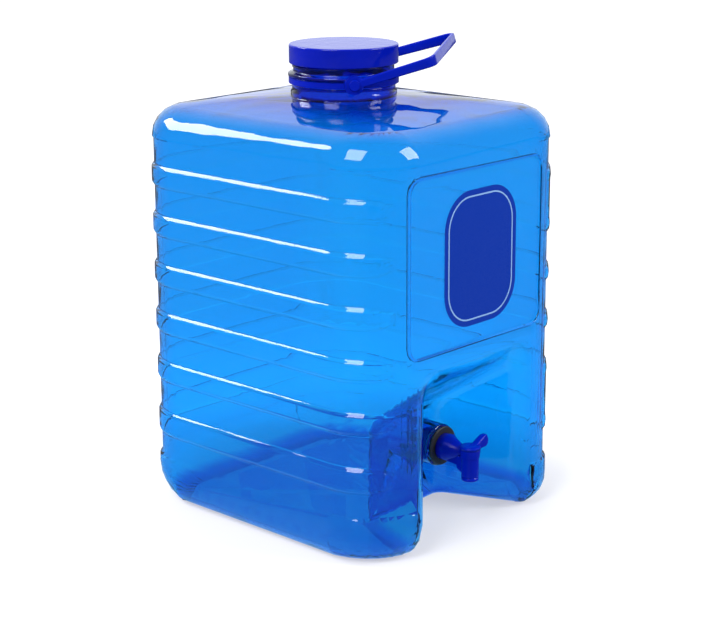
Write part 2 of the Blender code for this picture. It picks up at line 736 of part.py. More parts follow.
def build_tap_body():
    """Shank, flange, cone, gusset and upright barrel, bored for the flow and for the plug."""
    flange = washer_face()
    profile = [
        (0.0, -SHANK_TAIL),
        (SHANK_RADIUS - MOULD_EDGE, -SHANK_TAIL),
        (SHANK_RADIUS, -SHANK_TAIL + MOULD_EDGE),
        (SHANK_RADIUS, flange),
        (FLANGE_RADIUS, flange),
        (FLANGE_RADIUS, FLANGE_END - MOULD_EDGE),
        (FLANGE_RADIUS - MOULD_EDGE, FLANGE_END),
        (ARM_RADIUS, CONE_END),
        (ARM_CORE_RADIUS, CONE_END + MOULD_EDGE),
        (ARM_CORE_RADIUS, SPOUT_REACH),
        (0.0, SPOUT_REACH),
    ]
    middle = (0, BOSS_FACE, TAP_HEIGHT)
    body = place(turned("tap_body", profile, TAP_SEGMENTS), middle, "Y")
    upright = [
        (0.0, BARREL_BOTTOM),
        (BARREL_RADIUS, BARREL_BOTTOM),
        (BARREL_RADIUS, BARREL_STEP - BARREL_STEP_SLOPE),
        (BARREL_HEAD_RADIUS - MOULD_EDGE, BARREL_STEP),
        (BARREL_HEAD_RADIUS, BARREL_TOP - MOULD_EDGE),
        (BARREL_HEAD_RADIUS - MOULD_EDGE, BARREL_TOP),
        (0.0, BARREL_TOP),
    ]
    spout_place = (0, SPOUT_Y, 0)
    add(body, place(turned("barrel", upright, TAP_SEGMENTS), spout_place))
    add(body, tap_gusset())
    flow = disc("flow_bore", FLOW_RADIUS, -SHANK_TAIL - PAST, SPOUT_REACH - PAST, PORT_SEGMENTS)
    cut(body, place(flow, middle, "Y"))
    shelf = PLUG_BOTTOM - GAP
    bore_profile = [
        (0.0, BARREL_BOTTOM - PAST),
        (DROP_RADIUS, BARREL_BOTTOM - PAST),
        (DROP_RADIUS, shelf),
        (PLUG_BORE, shelf),
        (PLUG_BORE, BARREL_TOP + PAST),
        (0.0, BARREL_TOP + PAST),
    ]
    cut(body, place(turned("plug_bore", bore_profile, TAP_SEGMENTS), spout_place))
    return finish(body, "royal")


def tap_gusset():
    """The web under the cone, in the plane through the barrel."""
    top = TAP_HEIGHT - ARM_CORE_RADIUS
    knee = BOSS_FACE - GUSSET_KNEE
    outline = [
        (BOSS_FACE - FLANGE_END + GUSSET_LAP, top),
        (BOSS_FACE - FLANGE_END + GUSSET_LAP, TAP_HEIGHT - FLANGE_RADIUS + MOULD_EDGE),
        (knee, TAP_HEIGHT - GUSSET_DROP),
        (knee - GUSSET_LAP, TAP_HEIGHT - GUSSET_DROP - GUSSET_STEP),
        (SPOUT_Y + BARREL_RADIUS - GUSSET_LAP, GUSSET_LOW),
        (SPOUT_Y + GUSSET_LAP, GUSSET_LOW),
        (SPOUT_Y + GUSSET_LAP, top),
    ]
    return slab("tap_gusset", outline, GUSSET_HALF, MOULD_EDGE, lambda across, y, z: (across, y, z))


def build_spout():
    """The tip pushed into the barrel from below."""
    sleeve = DROP_RADIUS - GAP
    bore = sleeve - SPOUT_SLEEVE_WALL
    top = BARREL_BOTTOM - GAP
    tip = PLUG_BOTTOM - SPOUT_SLEEVE_DROP
    profile = [
        (bore, tip),
        (bore, SPOUT_BOTTOM),
        (SPOUT_RADIUS - MOULD_EDGE, SPOUT_BOTTOM),
        (SPOUT_RADIUS, SPOUT_BOTTOM + MOULD_EDGE),
        (SPOUT_RADIUS, top),
        (sleeve, top),
        (sleeve, tip),
    ]
    return finish(place(turned("tap_spout", profile, TAP_SEGMENTS), (0, SPOUT_Y, 0)), "royal")


def seal_heights():
    return (BARREL_TOP - UPPER_SEAL_DROP, PLUG_BOTTOM + LOWER_SEAL_RISE)


def square(name, across, low, high):
    """A square prism over the plug's axis."""
    half = across / 2
    outline = [(-half, -half), (half, -half), (half, half), (-half, half)]
    return place(prism(name, outline, low, high), (0, SPOUT_Y, 0))


def build_plug():
    """The turning plug: hollow from below, one side port, grooves for its two seals."""
    groove = PLUG_RADIUS - 2 * SEAL_SECTION - GAP
    half = SEAL_SECTION + SEAL_PLAY
    high, low = seal_heights()
    top = BARREL_TOP - PLUG_SINK
    profile = [(0.0, PLUG_BOTTOM), (PLUG_RADIUS, PLUG_BOTTOM)]
    for height in (low, high):
        profile += [(PLUG_RADIUS, height - half), (groove, height - half)]
        profile += [(groove, height + half), (PLUG_RADIUS, height + half)]
    profile += [(PLUG_RADIUS, top), (0.0, top)]
    spout_place = (0, SPOUT_Y, 0)
    plug = place(turned("tap_plug", profile, TAP_SEGMENTS), spout_place)
    add(plug, square("plug_drive", PLUG_DRIVE, top - DRIVE_LAP, BARREL_TOP + GAP + DRIVE_HEIGHT))
    hollow_radius = PLUG_RADIUS - PLUG_WALL
    hollow_top = TAP_HEIGHT + PLUG_CEILING
    hollow = disc("plug_hollow", hollow_radius, PLUG_BOTTOM - PAST, hollow_top, PORT_SEGMENTS)
    cut(plug, place(hollow, spout_place))
    port = disc("plug_port", PLUG_PORT_RADIUS, 0.0, PLUG_RADIUS + PAST, PORT_SEGMENTS)
    port.rotation_euler = (0, math.radians(-90), 0)
    port.location = (0, SPOUT_Y, TAP_HEIGHT)
    cut(plug, port)
    return finish(plug, "royal")


def build_plug_seals():
    middle = PLUG_RADIUS - SEAL_SECTION + SEAL_SQUEEZE
    for height, label in zip(seal_heights(), ("upper", "lower")):
        section = arc((middle, height), SEAL_SECTION, 0, 300, 5)
        seal = place(turned(f"plug_seal_{label}", section, TAP_SEGMENTS), (0, SPOUT_Y, 0))
        finish(seal, "seal")


def wing_outline(low, high):
    """Side view of the lever's wing, as distance from the hub's axis and height."""
    clear = BARREL_HEAD_RADIUS + WING_CLEARANCE
    under = low - WING_DROP
    return [
        (WING_START / 2, low + LEVER_EDGE / 2),
        (clear, low + LEVER_EDGE / 2),
        (clear, low - LEVER_EDGE),
        (clear + LEVER_EDGE, under),
        (WING_TIP - 3 * LEVER_EDGE, under),
        (WING_TIP - LEVER_EDGE / 2, low),
        (WING_TIP, low + WING_RISE / 2),
        (WING_TIP - 2 * LEVER_EDGE, low + WING_RISE),
        (WING_TIP - 6 * LEVER_EDGE, low + WING_RISE),
        (WING_START, high),
    ]


def build_lever():
    """The hub over the plug and its one raised wing, pointing to +X when shut."""
    low = BARREL_TOP + GAP
    high = low + LEVER_HUB_HEIGHT
    radius = LEVER_HUB_RADIUS
    profile = [(0, low), (radius, low), (radius, high - LEVER_EDGE), (radius - LEVER_EDGE, high), (0, high)]
    lever = place(turned("tap_lever", profile, TAP_SEGMENTS), (0, SPOUT_Y, 0))
    outline = wing_outline(low, high)
    half = LEVER_THICKNESS / 2
    wing = slab("lever_wing", outline, half, LEVER_EDGE, lambda across, x, z: (x, SPOUT_Y + across, z))
    add(lever, wing)
    cut(lever, square("lever_socket", PLUG_DRIVE + 2 * GAP, low - PAST, low + DRIVE_HEIGHT + GAP))
    return finish(lever, "royal")


def build_tap_seals():
    """The rubber washer outside, and the washer and nut inside the boss."""
    middle = (0, BOSS_FACE, TAP_HEIGHT)
    hole = SHANK_RADIUS + GAP
    edge = WASHER_EDGE
    low = GAP
    high = GAP + WASHER_THICKNESS
    profile = [(hole, low), (WASHER_RADIUS - edge, low), (WASHER_RADIUS, low + edge)]
    profile += [(WASHER_RADIUS, high - edge), (WASHER_RADIUS - edge, high), (hole, high)]
    finish(place(turned("tap_outer_washer", profile, BOSS_SEGMENTS), middle, "Y"), "rubber")
    inner_low = -BOSS_WALL - GAP - INNER_WASHER_THICKNESS
    inner_high = -BOSS_WALL - GAP
    inner = disc("tap_inner_washer", NUT_ACROSS / 2, inner_low, inner_high, TAP_SEGMENTS, hole=hole)
    finish(place(inner, middle, "Y"), "liner")
    nut_high = inner_low - GAP
    corner = NUT_ACROSS / 2 / math.cos(math.radians(30))
    outline = arc((0, 0), corner, 0, 300, 5)
    nut_low = nut_high - NUT_THICKNESS
    nut = prism("tap_lock_nut", outline, nut_low, nut_high, 30.0)
    bore = disc("nut_bore", hole, nut_low - PAST, nut_high + PAST, TAP_SEGMENTS)
    cut(place(nut, middle, "Y"), place(bore, middle, "Y"))
    finish(nut, "royal")


def main():
    clear_scene()
    build_tank()
    build_cap()
    build_liner()
    axis = handle_pivot()
    build_collar(axis)
    build_bail(axis)
    build_pins(axis)
    build_tap_body()
    build_spout()
    build_plug()
    build_plug_seals()
    build_lever()
    build_tap_seals()


main()
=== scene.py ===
"""Looks of the ribbed water container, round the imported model."""
import math

import bmesh
import bpy
from mathutils import Matrix, Vector


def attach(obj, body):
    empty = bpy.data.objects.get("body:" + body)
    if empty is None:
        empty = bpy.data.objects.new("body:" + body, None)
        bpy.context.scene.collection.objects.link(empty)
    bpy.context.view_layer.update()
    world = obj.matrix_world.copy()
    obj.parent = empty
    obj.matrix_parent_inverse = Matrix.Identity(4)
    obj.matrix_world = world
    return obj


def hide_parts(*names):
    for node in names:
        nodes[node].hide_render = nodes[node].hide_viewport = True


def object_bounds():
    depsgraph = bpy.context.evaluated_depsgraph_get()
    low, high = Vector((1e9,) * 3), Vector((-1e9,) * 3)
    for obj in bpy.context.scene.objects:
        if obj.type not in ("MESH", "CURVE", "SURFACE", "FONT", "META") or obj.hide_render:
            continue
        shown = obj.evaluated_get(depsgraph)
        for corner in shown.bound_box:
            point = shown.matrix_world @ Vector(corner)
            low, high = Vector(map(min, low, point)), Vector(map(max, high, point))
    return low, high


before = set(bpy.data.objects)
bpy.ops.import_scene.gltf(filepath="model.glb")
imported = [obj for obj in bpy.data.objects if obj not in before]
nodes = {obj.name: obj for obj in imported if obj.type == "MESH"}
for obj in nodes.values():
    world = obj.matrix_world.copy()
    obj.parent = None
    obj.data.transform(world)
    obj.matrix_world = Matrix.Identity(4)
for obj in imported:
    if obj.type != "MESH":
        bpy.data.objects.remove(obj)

cad_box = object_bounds()
scene = bpy.context.scene

# Camera, fitted to the photograph: angles in degrees, lengths in metres, the rest in pixels
IMAGE_WIDTH = 710.0
IMAGE_HEIGHT = 636.0
AZIMUTH = -47.312
ELEVATION = 13.632
ROLL = -0.262
FOCAL_PIXELS = 1807.4
DISTANCE = 1.4782
TARGET = Vector((-0.01053, -0.01439, 0.20752))
AXIS_ROW = 260.0
SENSOR_WIDTH = 36.0

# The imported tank's own sizes: its upright corners have their edges at these angles, from the
# side to the front or the back, and the skin's inner face lies a wall further in
HALF_WIDTH = 0.1200
HALF_DEPTH = 0.1355
CORNER_RADIUS = 0.0485
CORNER_X = HALF_WIDTH - CORNER_RADIUS
CORNER_Y = HALF_DEPTH - CORNER_RADIUS
FRONT_ANGLES = (0, 18, 36, 50, 58, 65, 77, 90)
BACK_ANGLES = (0, 15, 30, 45, 60, 75, 90)
WALL = 0.002
TOP_EDGE = 0.3332

# Ribs: as packed, each rises to most of its step within a short slope and then to its middle.
# Rounded, it rises as a quarter of a sine over the round width, with cuts at these distances in
# from its edges. On the front corners the ribs end at an angle
RIB_TOPS = (0.2868, 0.2462, 0.2052, 0.1645, 0.1228, 0.0790)
RIB_HEIGHTS = (0.0185, 0.0185, 0.0185, 0.0185, 0.0185, 0.0215)
RIB_STEP = 0.0022
PLAIN_SLOPE = 0.0030
PLAIN_SHARE = 0.78
ROUND_WIDTH = 0.0044
ROUND_CUTS = (-0.0008, -0.0002, 0.0004, 0.0009, 0.0015, 0.0021, 0.0028, 0.0036)
RIB_END_ANGLE = 49.0
SKIN_MARGIN = 0.0004

# The foot's curves are the short edges below a height
FOOT_HEIGHT = 0.0315
FOOT_LONGEST = 0.014

# Margins for telling where a point lies, and the angle that shading keeps as an edge
MERGE = 1e-6
TOUCH = 1e-5
TOP_MARGIN = 0.0005
GROUND_MARGIN = 0.0003
SHARP_ANGLE = 50.0
FACE_WEIGHT = 100

# Badge on the panel: printed plates of a little thickness, each pushed out by its lift
PANEL_FACE = -0.1335
BADGE_MIDDLE = (0.0045, 0.2275)
BADGE_SIZE = (0.088, 0.108)
BADGE_CORNER = 0.030
BADGE_SEGMENTS = 12
BADGE_LINE_INSET = 0.0045
BADGE_LINE = 0.0012
FIELD_LIFT = 0.0001
LINE_LIFT = 0.0002
INK = 0.0002

# Thread on the neck
NECK_Y = 0.0067
THREAD_ROOT = 0.0409
THREAD_CREST = 0.0421
THREAD_LOW = 0.3626
THREAD_PITCH = 0.0055
THREAD_TURNS = 2.2
THREAD_HEIGHT = 0.0022
THREAD_STEPS = 60
THREAD_SEGMENTS = 12

# Inputs of the moulded wall, in the order in which the walls below give them
WALL_INPUTS = (
    "Ripple Scale",
    "Ripple Depth",
    "Grain Scale",
    "Grain Depth",
    "Low Roughness",
    "High Roughness",
)

# Clear plastic of the tank. Between two heights it turns to a deeper tint. Towards the top it is
# partly the thick plastic and partly a painted dark reflection of the neck. Up the thick neck it
# is the thick plastic.
# Down to the bottom it is partly the thick base and partly painted shade where the tank stands
# on the floor
CLEAR_TINTS = ((0.12, 0.69, 0.89), (0.09, 0.65, 0.88))
CLEAR_MOTTLE = 6.0
CLEAR_WALL = (22.0, 0.0010, 500.0, 0.000003, 0.0, 0.02)
CLEAR_IOR = 1.46
CLEAR_ABSORPTION = (0.0, 0.66, 0.97, 1.0)
CLEAR_DENSITY = 380.0
THICK_AND_SHADED_TINTS = (
    # Dome top: thick plastic, with a painted dark reflection of the neck
    ((0.03, 0.38, 0.80), 0.3290, 0.3340),
    ((0.008, 0.08, 0.54), 0.3350, 0.3385),
    # Bottom: thick base, with painted shade where the tank stands on the floor
    ((0.01, 0.26, 0.82), 0.0100, 0.0035),
)

# Opaque finishes: two near tints, the scale at which they mix, the shine and the moulded wall
USUAL_SHINE = 0.5
INK_SHINE = 0.15
FINISHES = {
    "blue_ink": (
        (0.004, 0.045, 0.44), (0.003, 0.038, 0.40), 1400.0, INK_SHINE,
        (300.0, 0.00005, 3500.0, 0.00001, 0.22, 0.34),
    ),
    "pale_ink": (
        (0.33, 0.55, 0.88), (0.28, 0.50, 0.84), 1400.0, INK_SHINE,
        (300.0, 0.00005, 3500.0, 0.00001, 0.22, 0.34),
    ),
    "royal_blue_gloss": (
        (0.001, 0.011, 0.42), (0.001, 0.008, 0.36), 60.0, 0.30,
        (90.0, 0.0002, 1800.0, 0.000006, 0.08, 0.14),
    ),
    "royal_blue_tap": (
        (0.001, 0.016, 0.46), (0.001, 0.012, 0.40), 60.0, 0.12,
        (90.0, 0.0002, 1800.0, 0.000006, 0.12, 0.20),
    ),
    "royal_blue_handle": (
        (0.001, 0.013, 0.44), (0.001, 0.010, 0.38), 60.0, 0.15,
        (90.0, 0.0002, 1800.0, 0.000006, 0.10, 0.16),
    ),
    "black_rubber": (
        (0.010, 0.010, 0.012), (0.018, 0.018, 0.020), 300.0, USUAL_SHINE,
        (300.0, 0.0001, 2500.0, 0.00003, 0.45, 0.65),
    ),
    "pale_foam": (
        (0.80, 0.82, 0.84), (0.72, 0.75, 0.78), 900.0, USUAL_SHINE,
        (400.0, 0.0001, 2500.0, 0.00005, 0.6, 0.8),
    ),
}

# Room, as brightness against a white backdrop of 1, and the sweep's edge as a cosine
ROOM_TINT = (0.86, 0.91, 1.0, 1.0)
ROOM_LIGHT = 0.32
SWEEP_LIGHT = 1.15
SWEEP_RISE = 20.0
SWEEP_EDGE = 0.35

# Floor: distances from its middle between which its colour, its glow and a painted pool of blue
# light at the object's foot change
FLOOR_HALF_SIZE = 6.0
FLOOR_ROUGHNESS = 0.7
FLOOR_SHINE = 0.1
FLOOR_DARK = (0.14, 0.14, 0.16)
FLOOR_PALE = (0.40, 0.40, 0.42)
FLOOR_NEAR = 0.28
FLOOR_FAR = 0.60
SHADOW_NEAR = 0.14
SHADOW_FAR = 0.34
FLOOR_GLOW = 0.50
# Painted pool of light: the floor glows blue at the object's foot, standing in for light coming
# through the tank
PAINTED_POOL_NEAR = 0.16
PAINTED_POOL_FAR = 0.21
PAINTED_POOL_GLOW = 0.9
PAINTED_POOL_TINT = (0.22, 0.58, 1.0)
WHITE = (1.0, 1.0, 1.0)

# Softboxes: azimuth, rise, distance, width and height, brightness. The lamps' power is for each
# square metre and each unit of brightness
LAMP_AIM = Vector((0.0, 0.0, 0.20))
LAMP_POWER = 4
SOFTBOXES = {
    "window_left": (-80, 42, 2.5, (1.20, 1.55), 8.0),
    "window_right": (33, 31, 2.5, (1.05, 1.35), 8.0),
    "rim_left": (-158, 33, 4.0, (2.0, 1.15), 12.0),
}


def direction(azimuth, rise):
    """Unit vector; azimuth 0 points out of the front, 90 along +X, rise is above the horizon."""
    turn = math.radians(azimuth)
    lift = math.radians(rise)
    level = math.cos(lift)
    return Vector((math.sin(turn) * level, -math.cos(turn) * level, math.sin(lift)))


def make_camera():
    """Long lens from the front left, a little above, with a small upright shift."""
    roll = math.radians(ROLL)
    back = direction(AZIMUTH, ELEVATION)
    level = Vector((0, 0, 1)).cross(back).normalized()
    upright = back.cross(level)
    right = level * math.cos(roll) + upright * math.sin(roll)
    up = upright * math.cos(roll) - level * math.sin(roll)
    lens = bpy.data.cameras.new("photo_camera")
    lens.sensor_fit = "HORIZONTAL"
    lens.sensor_width = SENSOR_WIDTH
    lens.lens = FOCAL_PIXELS / IMAGE_WIDTH * SENSOR_WIDTH
    lens.shift_y = -(IMAGE_HEIGHT / 2 - AXIS_ROW) / IMAGE_WIDTH
    item = bpy.data.objects.new("photo_camera", lens)
    place = Matrix((right, up, back)).transposed().to_4x4()
    place.translation = TARGET + back * DISTANCE
    item.matrix_world = place
    scene.collection.objects.link(item)
    scene.camera = item


def new_material(name):
    """A material with nodes, its tree and its Principled shader."""
    material = bpy.data.materials.new(name)
    material.use_nodes = True
    tree = material.node_tree
    return material, tree, tree.nodes["Principled BSDF"]


def coordinates(tree):
    """The object's own coordinates."""
    return tree.nodes.new("ShaderNodeTexCoord").outputs["Object"]


def map_range(tree, value, start, end, low=0.0, high=1.0, smooth=False):
    """Carries a value from one range to another and holds it at the ends."""
    node = tree.nodes.new("ShaderNodeMapRange")
    if smooth:
        node.interpolation_type = "SMOOTHSTEP"
    node.inputs["From Min"].default_value = start
    node.inputs["From Max"].default_value = end
    node.inputs["To Min"].default_value = low
    node.inputs["To Max"].default_value = high
    tree.links.new(value, node.inputs["Value"])
    return node.outputs["Result"]


def blend(tree, factor, first, second):
    """Mixes two colours, each given as numbers or as the output of another node."""
    node = tree.nodes.new("ShaderNodeMix")
    node.data_type = "RGBA"
    tree.links.new(factor, node.inputs["Factor"])
    for name, colour in (("A", first), ("B", second)):
        if isinstance(colour, tuple):
            node.inputs[name].default_value = (*colour, 1.0)
        else:
            tree.links.new(colour, node.inputs[name])
    return node.outputs["Result"]


def noise(tree, vector, scale, detail):
    """Noise of a scale, given as a number or as the output of another node."""
    node = tree.nodes.new("ShaderNodeTexNoise")
    node.inputs["Detail"].default_value = detail
    tree.links.new(vector, node.inputs["Vector"])
    if isinstance(scale, float):
        node.inputs["Scale"].default_value = scale
    else:
        tree.links.new(scale, node.inputs["Scale"])
    return node.outputs["Fac"]


def moulded_group():
    """Slow ripple and fine grain of a moulded plastic wall: a normal and a roughness."""
    group = bpy.data.node_groups.new("moulded_wall", "ShaderNodeTree")
    face = group.interface
    face.new_socket("Vector", in_out="INPUT", socket_type="NodeSocketVector")
    for name in WALL_INPUTS:
        face.new_socket(name, in_out="INPUT", socket_type="NodeSocketFloat")
    face.new_socket("Roughness", in_out="OUTPUT", socket_type="NodeSocketFloat")
    face.new_socket("Normal", in_out="OUTPUT", socket_type="NodeSocketVector")
    make = group.nodes.new
    wire = group.links.new
    come = make("NodeGroupInput").outputs
    ripple = noise(group, come["Vector"], come["Ripple Scale"], 1.0)
    grain = noise(group, come["Vector"], come["Grain Scale"], 2.0)
    first = make("ShaderNodeBump")
    wire(ripple, first.inputs["Height"])
    wire(come["Ripple Depth"], first.inputs["Distance"])
    second = make("ShaderNodeBump")
    wire(grain, second.inputs["Height"])
    wire(come["Grain Depth"], second.inputs["Distance"])
    wire(first.outputs["Normal"], second.inputs["Normal"])
    spread = make("ShaderNodeMapRange")
    wire(grain, spread.inputs["Value"])
    wire(come["Low Roughness"], spread.inputs["To Min"])
    wire(come["High Roughness"], spread.inputs["To Max"])
    go = make("NodeGroupOutput")
    wire(spread.outputs["Result"], go.inputs["Roughness"])
    wire(second.outputs["Normal"], go.inputs["Normal"])
    return group


MOULDED = moulded_group()


def use_moulded(tree, shader, wall):
    """Gives a shader the moulded wall's normal and roughness."""
    item = tree.nodes.new("ShaderNodeGroup")
    item.node_tree = MOULDED
    for name, value in zip(WALL_INPUTS, wall):
        item.inputs[name].default_value = value
    tree.links.new(coordinates(tree), item.inputs["Vector"])
    tree.links.new(item.outputs["Roughness"], shader.inputs["Roughness"])
    tree.links.new(item.outputs["Normal"], shader.inputs["Normal"])


def mottled(tree, light, dark, scale):
    """A colour that drifts slowly between two near tints."""
    return blend(tree, noise(tree, coordinates(tree), scale, 2.0), light, dark)


def clear_blue():
    """See-through blue plastic of the tank, deeper where light goes through more of it, with
    painted shade at the foot and a painted dark reflection of the neck on the dome.
    """
    material, tree, shader = new_material("clear_blue_plastic")
    colour = mottled(tree, *CLEAR_TINTS, CLEAR_MOTTLE)
    place = tree.nodes.new("ShaderNodeSeparateXYZ")
    tree.links.new(coordinates(tree), place.inputs["Vector"])
    # Height tints: thick plastic, plus painted shade at the foot and a painted dark reflection
    # of the neck on the dome
    for tint, start, end in THICK_AND_SHADED_TINTS:
        colour = blend(tree, map_range(tree, place.outputs["Z"], start, end), colour, tint)
    tree.links.new(colour, shader.inputs["Base Color"])
    shader.inputs["Transmission Weight"].default_value = 1.0
    shader.inputs["IOR"].default_value = CLEAR_IOR
    use_moulded(tree, shader, CLEAR_WALL)
    volume = tree.nodes.new("ShaderNodeVolumeAbsorption")
    volume.inputs["Color"].default_value = CLEAR_ABSORPTION
    volume.inputs["Density"].default_value = CLEAR_DENSITY
    out = tree.nodes["Material Output"]
    tree.links.new(volume.outputs["Volume"], out.inputs["Volume"])
    return material


def opaque(name):
    """One of the opaque finishes."""
    light, dark, scale, shine, wall = FINISHES[name]
    material, tree, shader = new_material(name)
    tree.links.new(mottled(tree, light, dark, scale), shader.inputs["Base Color"])
    shader.inputs["Specular IOR Level"].default_value = shine
    use_moulded(tree, shader, wall)
    return material


def dress(material, *names):
    """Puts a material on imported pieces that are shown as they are."""
    for name in names:
        slots = nodes[name].material_slots
        if not slots:
            nodes[name].data.materials.append(material)
            continue
        for slot in slots:
            slot.material = material


def finished_piece(name, mesh, body, material):
    """Turns a bmesh into a piece that rides on a body and takes a slot's finish."""
    data = bpy.data.meshes.new(name)
    mesh.to_mesh(data)
    mesh.free()
    data.shade_smooth()
    data.set_sharp_from_angle(angle=math.radians(SHARP_ANGLE))
    data.materials.append(material)
    item = bpy.data.objects.new(name, data)
    scene.collection.objects.link(item)
    weighted = item.modifiers.new("weighted_normals", "WEIGHTED_NORMAL")
    weighted.weight = FACE_WEIGHT
    weighted.keep_sharp = True
    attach(item, body)
    return item


def merged_copy(node):
    """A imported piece's mesh as a bmesh of its own, with its points merged."""
    mesh = bmesh.new()
    mesh.from_mesh(nodes[node].data)
    bmesh.ops.remove_doubles(mesh, verts=mesh.verts, dist=MERGE)
    return mesh


def outline_offset(point):
    """Level vector from the nearest point of the lines between the corners' centres."""
    return Vector((
        point.x - max(-CORNER_X, min(point.x, CORNER_X)),
        point.y - max(-CORNER_Y, min(point.y, CORNER_Y)),
        0.0,
    ))


def corner_angle(offset):
    """Degrees round the corner, 0 at the side and 90 at the front or the back."""
    return math.degrees(math.atan2(abs(offset.y), abs(offset.x)))


def cut_across(mesh, point, normal, faces):
    """Adds an edge wherever a plane crosses these faces."""
    edges = {edge for face in faces for edge in face.edges}
    verts = {vertex for face in faces for vertex in face.verts}
    bmesh.ops.bisect_plane(
        mesh, geom=[*verts, *edges, *faces], dist=MERGE, plane_co=point, plane_no=normal
    )


def in_corner(face, side, end):
    """True for a face of the upright walls in the corner on that side and end."""
    for vertex in face.verts:
        if vertex.co.z > TOP_EDGE - TOP_MARGIN:
            return False
        if vertex.co.x * side < CORNER_X - TOUCH or vertex.co.y * end < CORNER_Y - TOUCH:
            return False
    return True


def round_the_corners(mesh):
    """Halves each flat of the four upright corners and brings the new points onto the arc."""
    for end, angles in ((-1, FRONT_ANGLES), (1, BACK_ANGLES)):
        for side in (-1, 1):
            centre = Vector((side * CORNER_X, end * CORNER_Y, 0.0))
            for first, second in zip(angles, angles[1:]):
                turn = math.radians((first + second) / 2)
                normal = Vector((-side * math.sin(turn), end * math.cos(turn), 0.0))
                faces = [face for face in mesh.faces if in_corner(face, side, end)]
                cut_across(mesh, centre, normal, faces)
    for vertex in mesh.verts:
        offset = outline_offset(vertex.co)
        if vertex.co.z > TOP_EDGE - TOP_MARGIN or min(abs(offset.x), abs(offset.y)) < TOUCH:
            continue
        if offset.length < CORNER_RADIUS / 2:
            continue
        angle = corner_angle(offset)
        angles = BACK_ANGLES if offset.y > 0 else FRONT_ANGLES
        for first, second in zip(angles, angles[1:]):
            if first <= angle <= second:
                half = math.radians((second - first) / 2)
                away = math.radians(angle - (first + second) / 2)
                vertex.co += offset * (math.cos(away) / math.cos(half) - 1)
                break


def round_the_foot(mesh):
    """Halves the short edges of the foot's curves, with the new points out on the curve."""
    mesh.normal_update()
    edges = []
    for edge in mesh.edges:
        top = max(vertex.co.z for vertex in edge.verts)
        if GROUND_MARGIN < top < FOOT_HEIGHT and edge.calc_length() < FOOT_LONGEST:
            edges.append(edge)
    bmesh.ops.subdivide_edges(mesh, edges=edges, cuts=1, smooth=1.0, use_smooth_even=True)
    low, high = cad_box
    for vertex in mesh.verts:
        for axis in range(3):
            vertex.co[axis] = min(max(vertex.co[axis], low[axis]), high[axis])


def plain_rib(inward, height):
    """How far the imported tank's rib stands out at a distance in from its edge."""
    if inward < PLAIN_SLOPE:
        return PLAIN_SHARE * RIB_STEP * inward / PLAIN_SLOPE
    share = (inward - PLAIN_SLOPE) / (height / 2 - PLAIN_SLOPE)
    return RIB_STEP * (PLAIN_SHARE + (1 - PLAIN_SHARE) * share)


def round_rib(inward):
    """How far the rounded rib stands out at a distance in from its edge."""
    return RIB_STEP * math.sin(math.pi / 2 * min(inward / ROUND_WIDTH, 1.0))


def has_ribs(offset):
    """The ribs run round the back, both sides, and the front corners up to their ends."""
    return offset.y >= 0 or corner_angle(offset) <= RIB_END_ANGLE


def round_the_ribs(mesh):
    """Cuts the walls along each rib's edges and swells the rib to a round form."""
    for top, height in zip(RIB_TOPS, RIB_HEIGHTS):
        for inward in ROUND_CUTS:
            for level in (top - inward, top - height + inward):
                cut_across(mesh, (0, 0, level), (0, 0, 1), mesh.faces[:])
    for vertex in mesh.verts:
        offset = outline_offset(vertex.co)
        if offset.length < CORNER_RADIUS - 2 * WALL or not has_ribs(offset):
            continue
        for top, height in zip(RIB_TOPS, RIB_HEIGHTS):
            inward = min(top - vertex.co.z, vertex.co.z - top + height)
            if inward <= 0:
                continue
            plain = plain_rib(inward, height)
            for skin in (CORNER_RADIUS, CORNER_RADIUS - WALL):
                if abs(offset.length - skin - plain) < SKIN_MARGIN:
                    vertex.co += offset.normalized() * (round_rib(inward) - plain)
                    break


def tank_moulding(material):
    """The tank with rounded ribs, corners and foot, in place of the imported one."""
    mesh = merged_copy("tank_body")
    round_the_corners(mesh)
    round_the_foot(mesh)
    round_the_ribs(mesh)
    item = finished_piece("tank_moulding", mesh, "tank", material)
    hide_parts("tank_body")


def smooth_copy(node, body, material):
    """A merged and smooth-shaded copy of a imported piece, in place of it."""
    item = finished_piece(node + "_smooth", merged_copy(node), body, material)
    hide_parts(node)


def badge_piece(name, inset, line, lift, material):
    """A printed shape with round corners on the panel: filled, or the outline of a line."""
    width = BADGE_SIZE[0] - 2 * inset
    height = BADGE_SIZE[1] - 2 * inset
    upright = Matrix.Rotation(math.pi / 2, 3, "X")
    place = (BADGE_MIDDLE[0], PANEL_FACE - lift, BADGE_MIDDLE[1])
    mesh = bmesh.new()
    corners = bmesh.ops.create_grid(mesh, x_segments=1, y_segments=1, size=0.5)["verts"]
    bmesh.ops.scale(mesh, vec=(width, height, 1.0), verts=corners)
    bmesh.ops.bevel(mesh, geom=corners, offset=BADGE_CORNER - inset, segments=BADGE_SEGMENTS,
                    profile=0.5, affect="VERTICES", material=-1)
    if line:
        middle = mesh.faces[:]
        bmesh.ops.inset_region(mesh, faces=middle, thickness=line, use_boundary=True,
                               use_even_offset=True)
        bmesh.ops.delete(mesh, geom=middle, context="FACES")
    raised = bmesh.ops.extrude_face_region(mesh, geom=mesh.faces[:])["geom"]
    raised = [item for item in raised if isinstance(item, bmesh.types.BMVert)]
    bmesh.ops.translate(mesh, vec=(0, 0, INK), verts=raised)
    bmesh.ops.rotate(mesh, verts=mesh.verts, cent=(0, 0, 0), matrix=upright)
    bmesh.ops.translate(mesh, vec=place, verts=mesh.verts)
    finished_piece(name, mesh, "tank", material)


